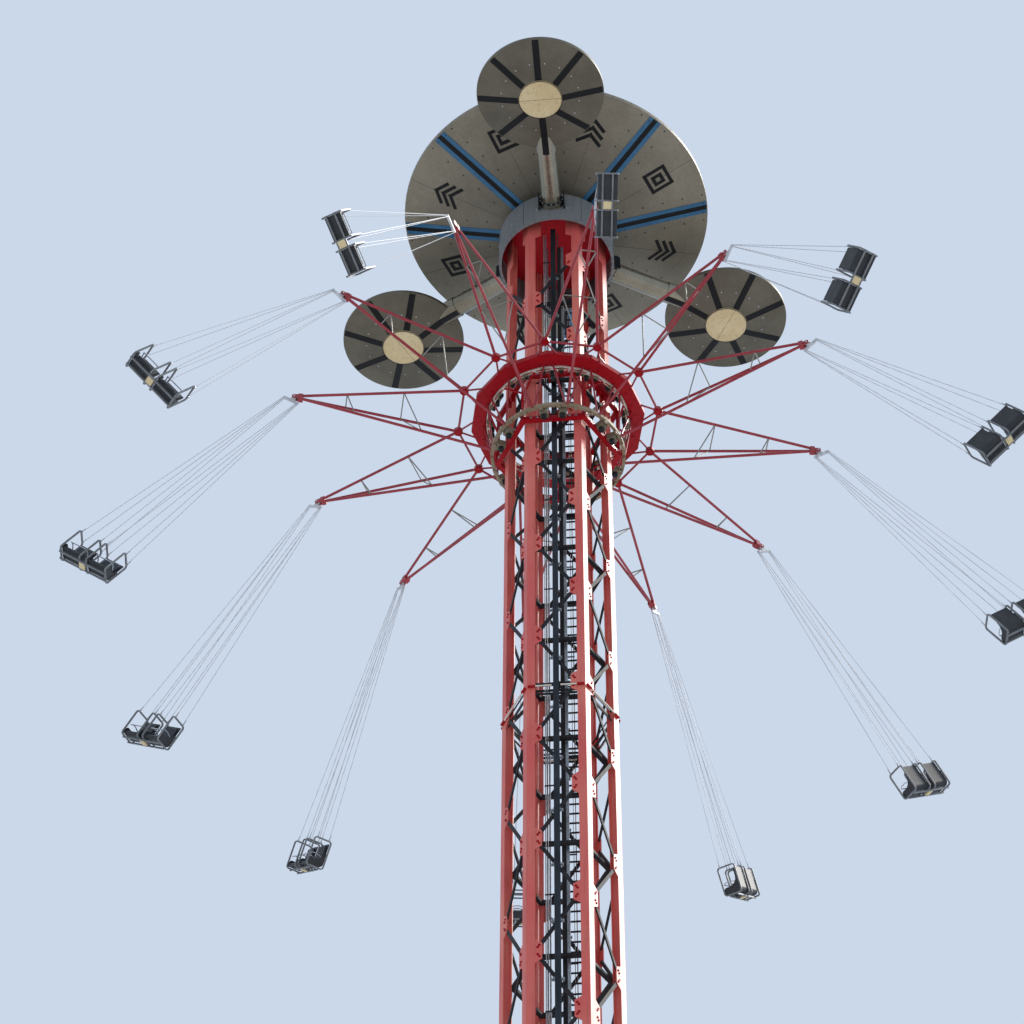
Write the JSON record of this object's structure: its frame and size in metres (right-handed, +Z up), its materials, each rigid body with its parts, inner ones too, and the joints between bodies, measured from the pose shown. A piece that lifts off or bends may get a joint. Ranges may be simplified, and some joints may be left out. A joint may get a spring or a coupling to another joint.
{
  "type": "tower swing ride, half-size scale model",
  "caption": "Tall hexagonal lattice tower with disc-shaped head, lift carriage and a turning ring of arms that carry double chairs on ropes; half-size scale model.",
  "frame": {"origin": "middle of the base flange, on its underside, at ground level", "axes": "+Z up along the tower; -Y out of the tower face that carries the first small disc, +X to the right of it"},
  "size_m": [11.7426, 11.7426, 39.344],
  "materials": {
    "leg_red": "satin red enamel over folded steel plate",
    "brace_black": "black painted flat steel",
    "rail_steel": "oiled dark steel",
    "ladder_grey": "galvanised steel",
    "rope_steel": "bright wire rope",
    "frame_dark": "dark painted steel",
    "drum_slate": "satin slate grey",
    "ceiling_red": "satin deep red",
    "disc_skin": "brushed taupe sheet",
    "stripe_black": "satin black",
    "arm_tube": "brushed steel tube",
    "cap_cream": "satin cream",
    "mast_grey": "satin grey",
    "carriage_red": "satin deep red",
    "roller_rubber": "matt black tread",
    "ring_white": "satin off-white",
    "ring_stone": "satin stone grey",
    "rotor_red": "satin red",
    "hanger_steel": "stainless steel",
    "chair_shell": "moulded dark plastic"
  },
  "bodies": {
    "tower": {"base_flange": "leg_red", "leg_1": "leg_red", "leg_2": "leg_red", "leg_3": "leg_red", "leg_4": "leg_red", "leg_5": "leg_red", "leg_6": "leg_red", "bracing_1": "brace_black", "bracing_2": "brace_black", "bracing_3": "brace_black", "bracing_4": "brace_black", "bracing_5": "brace_black", "bracing_6": "brace_black", "guide_rails": "rail_steel", "ladder": "ladder_grey", "hoist_ropes": "rope_steel", "inner_frames": "frame_dark", "head_drum": "drum_slate", "head_ceiling": "ceiling_red", "main_disc": "disc_skin", "disc_stripes": "stripe_black", "disc_arms": "arm_tube", "small_discs": "disc_skin", "disc_caps": "cap_cream", "mast_head": "mast_grey"},
    "carriage": {"carriage_frame": "carriage_red", "guide_rollers": "roller_rubber", "bearing_ring": "ring_white", "service_rail": "rotor_red"},
    "rotor": {"rotor_band": "carriage_red", "lower_ring": "ring_stone", "rotor_struts": "rotor_red", "arms_1": "rotor_red", "arms_2": "rotor_red", "arms_3": "rotor_red", "arms_4": "rotor_red"},
    "swing_1": {"hanger_1": "hanger_steel", "chair_1": "chair_shell"},
    "swing_2": {"hanger_2": "hanger_steel", "chair_2": "chair_shell"},
    "swing_3": {"hanger_3": "hanger_steel", "chair_3": "chair_shell"},
    "swing_4": {"hanger_4": "hanger_steel", "chair_4": "chair_shell"},
    "swing_5": {"hanger_5": "hanger_steel", "chair_5": "chair_shell"},
    "swing_6": {"hanger_6": "hanger_steel", "chair_6": "chair_shell"},
    "swing_7": {"hanger_7": "hanger_steel", "chair_7": "chair_shell"},
    "swing_8": {"hanger_8": "hanger_steel", "chair_8": "chair_shell"},
    "swing_9": {"hanger_9": "hanger_steel", "chair_9": "chair_shell"},
    "swing_10": {"hanger_10": "hanger_steel", "chair_10": "chair_shell"},
    "swing_11": {"hanger_11": "hanger_steel", "chair_11": "chair_shell"},
    "swing_12": {"hanger_12": "hanger_steel", "chair_12": "chair_shell"}
  },
  "joints": [
    {"name": "carriage_lift", "type": "slide", "parent": "tower", "child": "carriage", "axis": [0, 0, 1], "range_m": [-29.65, 2.7]},
    {"name": "rotor_spin", "type": "hinge", "parent": "carriage", "child": "rotor", "pos_m": [0, 0, 34.048], "axis": [0, 0, 1], "continuous": true},
    {"name": "swing_1_hinge", "type": "hinge", "parent": "rotor", "child": "swing_1", "pos_m": [0.71829, -3.26697, 34.048], "axis": [-0.9938, -0.1115, 0], "range_deg": [-35, 15]},
    {"name": "swing_2_hinge", "type": "hinge", "parent": "rotor", "child": "swing_2", "pos_m": [2.25554, -2.47013, 34.048], "axis": [-0.8049, -0.5934, 0], "range_deg": [-35, 15]},
    {"name": "swing_3_hinge", "type": "hinge", "parent": "rotor", "child": "swing_3", "pos_m": [3.18842, -1.01143, 34.048], "axis": [-0.4003, -0.9164, 0], "range_deg": [-35, 15]},
    {"name": "swing_4_hinge", "type": "hinge", "parent": "rotor", "child": "swing_4", "pos_m": [3.26697, 0.71829, 34.048], "axis": [0.1115, -0.9938, 0], "range_deg": [-35, 15]},
    {"name": "swing_5_hinge", "type": "hinge", "parent": "rotor", "child": "swing_5", "pos_m": [2.47013, 2.25554, 34.048], "axis": [0.5934, -0.8049, 0], "range_deg": [-35, 15]},
    {"name": "swing_6_hinge", "type": "hinge", "parent": "rotor", "child": "swing_6", "pos_m": [1.01143, 3.18842, 34.048], "axis": [0.9164, -0.4003, 0], "range_deg": [-35, 15]},
    {"name": "swing_7_hinge", "type": "hinge", "parent": "rotor", "child": "swing_7", "pos_m": [-0.71829, 3.26697, 34.048], "axis": [0.9938, 0.1115, 0], "range_deg": [-35, 15]},
    {"name": "swing_8_hinge", "type": "hinge", "parent": "rotor", "child": "swing_8", "pos_m": [-2.25554, 2.47013, 34.048], "axis": [0.8049, 0.5934, 0], "range_deg": [-35, 15]},
    {"name": "swing_9_hinge", "type": "hinge", "parent": "rotor", "child": "swing_9", "pos_m": [-3.18842, 1.01143, 34.048], "axis": [0.4003, 0.9164, 0], "range_deg": [-35, 15]},
    {"name": "swing_10_hinge", "type": "hinge", "parent": "rotor", "child": "swing_10", "pos_m": [-3.26697, -0.71829, 34.048], "axis": [-0.1115, 0.9938, 0], "range_deg": [-35, 15]},
    {"name": "swing_11_hinge", "type": "hinge", "parent": "rotor", "child": "swing_11", "pos_m": [-2.47013, -2.25554, 34.048], "axis": [-0.5934, 0.8049, 0], "range_deg": [-35, 15]},
    {"name": "swing_12_hinge", "type": "hinge", "parent": "rotor", "child": "swing_12", "pos_m": [-1.01143, -3.18842, 34.048], "axis": [-0.9164, 0.4003, 0], "range_deg": [-35, 15]}
  ]
}
